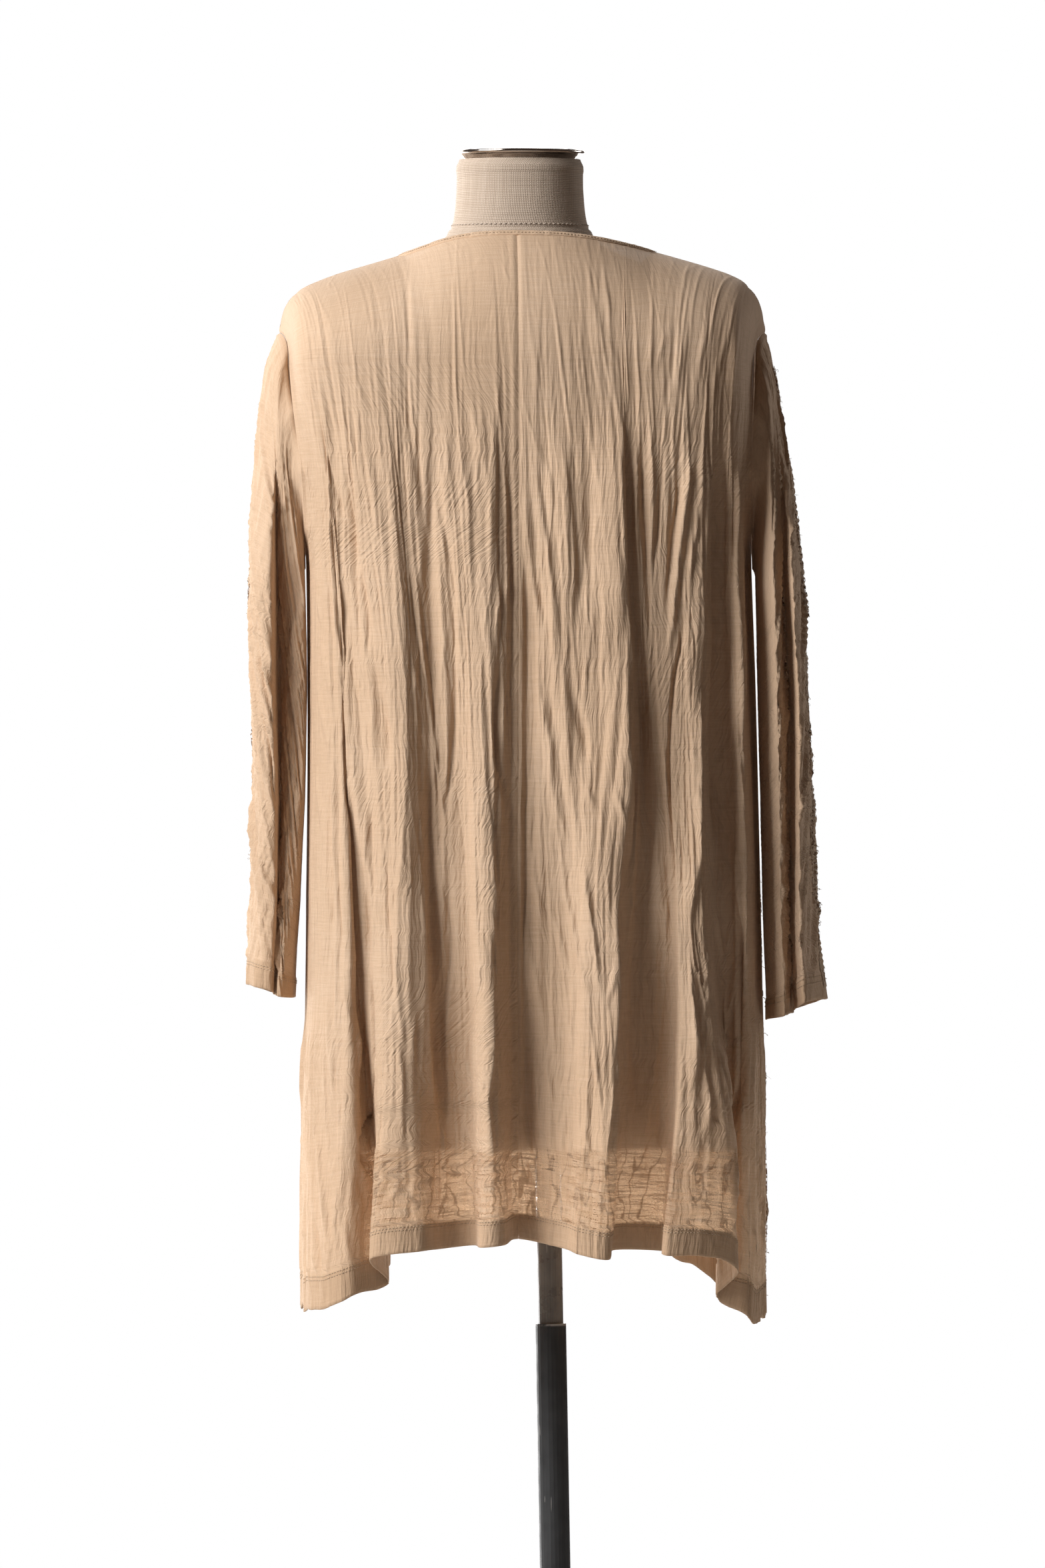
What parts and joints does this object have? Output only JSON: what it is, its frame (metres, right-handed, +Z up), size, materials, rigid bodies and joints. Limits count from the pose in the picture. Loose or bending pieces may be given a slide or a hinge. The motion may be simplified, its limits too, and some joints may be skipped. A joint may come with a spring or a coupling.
{
  "type": "tunic top on dress form",
  "caption": "Loose crinkled jersey tunic top with long sleeves and a bound scoop neck, hanging in soft folds on a limbless linen dress form with a round-footed metal stand.",
  "frame": {"origin": "middle of the foot plate's underside, on the floor", "axes": "+Z up, the tunic's back faces -Y and its front +Y, the sleeve on the wearer's left is towards -X"},
  "size_m": [0.4947, 0.35, 1.475],
  "materials": {
    "crinkled_jersey": "sheer matte crinkled slub jersey, beige brown",
    "frayed_yarn": "matte frayed yarn, beige brown",
    "linen": "matte plain-woven linen, natural",
    "chrome": "polished",
    "grey_paint": "satin dark grey",
    "black_paint": "matt black"
  },
  "bodies": {
    "root": {"back_left": "crinkled_jersey", "back_right": "crinkled_jersey", "front": "crinkled_jersey", "sleeve_left": "crinkled_jersey", "sleeve_right": "crinkled_jersey", "neck_binding": "crinkled_jersey", "fray_sleeve_left": "frayed_yarn", "fray_sleeve_right": "frayed_yarn", "fray_side_right": "frayed_yarn", "form_body": "linen", "neck_cap": "chrome", "mast": "grey_paint", "outer_tube": "black_paint", "foot_plate": "black_paint"}
  },
  "joints": []
}
